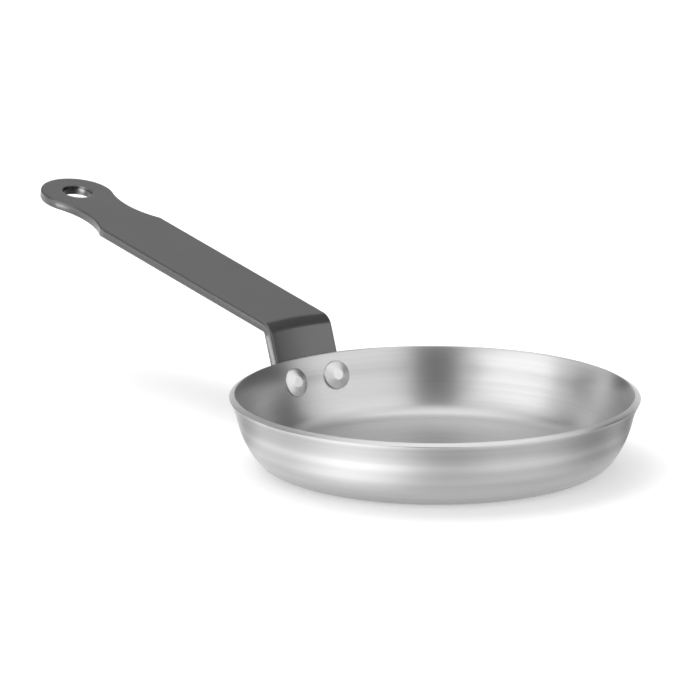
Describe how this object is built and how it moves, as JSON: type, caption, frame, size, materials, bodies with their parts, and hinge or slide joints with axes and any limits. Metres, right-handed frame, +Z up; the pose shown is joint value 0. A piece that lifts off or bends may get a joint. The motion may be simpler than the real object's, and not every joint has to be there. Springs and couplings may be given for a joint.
{
  "type": "crepe pan",
  "caption": "Small round steel frying pan with a flared lip and a riveted flat strip handle that rises to a hanging eye, for cooking small crepes and pancakes on a hob.",
  "frame": {"origin": "centre of the flat underside of the pan's base, where it stands on the hob", "axes": "+Z up out of the pan, +X from the pan's centre along the handle"},
  "size_m": [0.2432, 0.12, 0.0531],
  "materials": {
    "pan_steel": "bright bare steel sheet, turned to a fine concentric brushed finish",
    "handle_coating": "satin dark grey baked coating on steel strip",
    "rivet_steel": "bright bare metal, formed by the rivet set"
  },
  "bodies": {
    "root": {"pan_body": "pan_steel", "handle": "handle_coating", "rivet_left": "rivet_steel", "rivet_right": "rivet_steel"}
  },
  "joints": []
}
